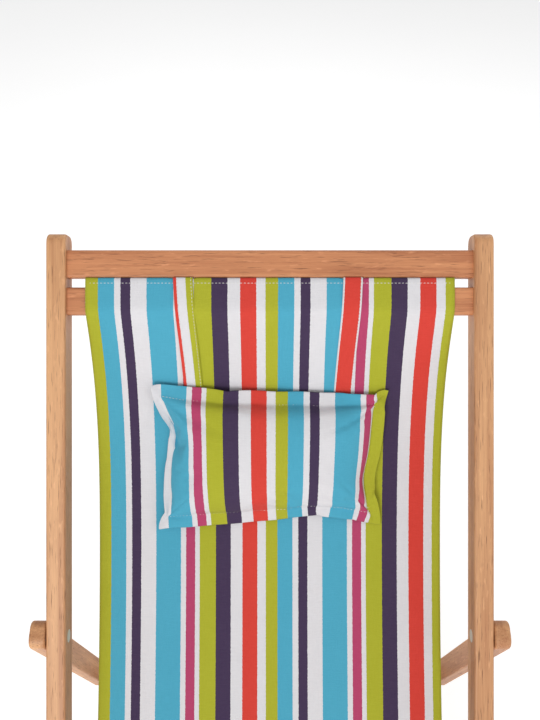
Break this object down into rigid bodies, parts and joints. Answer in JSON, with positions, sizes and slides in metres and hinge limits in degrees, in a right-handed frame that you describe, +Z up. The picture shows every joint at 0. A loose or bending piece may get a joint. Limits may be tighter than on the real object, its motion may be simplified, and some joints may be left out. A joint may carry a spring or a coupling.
{
  "type": "folding deck chair",
  "caption": "Folding wooden deck chair with a striped cloth sling, a padded head pillow on cloth straps, and a notched reclining prop.",
  "frame": {"origin": "on the ground, at the middle of the chair's outline as set up", "axes": "+Z up, the sitter faces -Y, +X to the sitter's left as they sit"},
  "size_m": [0.601, 0.937, 0.9],
  "materials": {
    "frame_wood": "light reddish hardwood, oiled, satin, fine lengthwise grain",
    "rail_wood": "slightly warmer hardwood, oiled, satin, fine lengthwise grain",
    "dowel_wood": "plain pale dowel, raw",
    "bolt_steel": "zinc plated, satin",
    "sling_cloth": "woven cotton canvas with lengthwise stripes in green, blue, white, purple, magenta and red",
    "pillow_cloth": "the sling's striped canvas, padded",
    "strap_cloth": "narrow folded strips of the striped canvas, edge stitched"
  },
  "bodies": {
    "seat_frame": {"seat_rail_left": "frame_wood", "seat_rail_right": "frame_wood", "front_sling_rail": "rail_wood", "rear_stretcher": "rail_wood", "seat_frame_dowels": "dowel_wood", "sling_seat": "sling_cloth", "pivot_bolts": "bolt_steel", "pivot_nuts": "bolt_steel", "pivot_washers": "bolt_steel"},
    "back_frame": {"back_post_left": "frame_wood", "back_post_right": "frame_wood", "top_rail": "rail_wood", "upper_sling_rail": "rail_wood", "foot_rail": "rail_wood", "back_frame_dowels": "dowel_wood", "sling_back": "sling_cloth", "pillow": "pillow_cloth", "pillow_strap_left": "strap_cloth", "pillow_strap_right": "strap_cloth", "prop_bolts": "bolt_steel", "prop_nuts": "bolt_steel", "prop_washers": "bolt_steel"},
    "prop_frame": {"prop_strut_left": "frame_wood", "prop_strut_right": "frame_wood", "prop_bar": "rail_wood", "prop_bar_screws": "bolt_steel"}
  },
  "joints": [
    {"name": "frame_fold", "type": "hinge", "parent": "seat_frame", "child": "back_frame", "pos_m": [0, -0.16726, 0.28757], "axis": [1, 0, 0], "range_deg": [0, 105]},
    {"name": "prop_swing", "type": "hinge", "parent": "back_frame", "child": "prop_frame", "pos_m": [0, 0.06892, 0.53215], "axis": [1, 0, 0], "range_deg": [0, 112]}
  ]
}
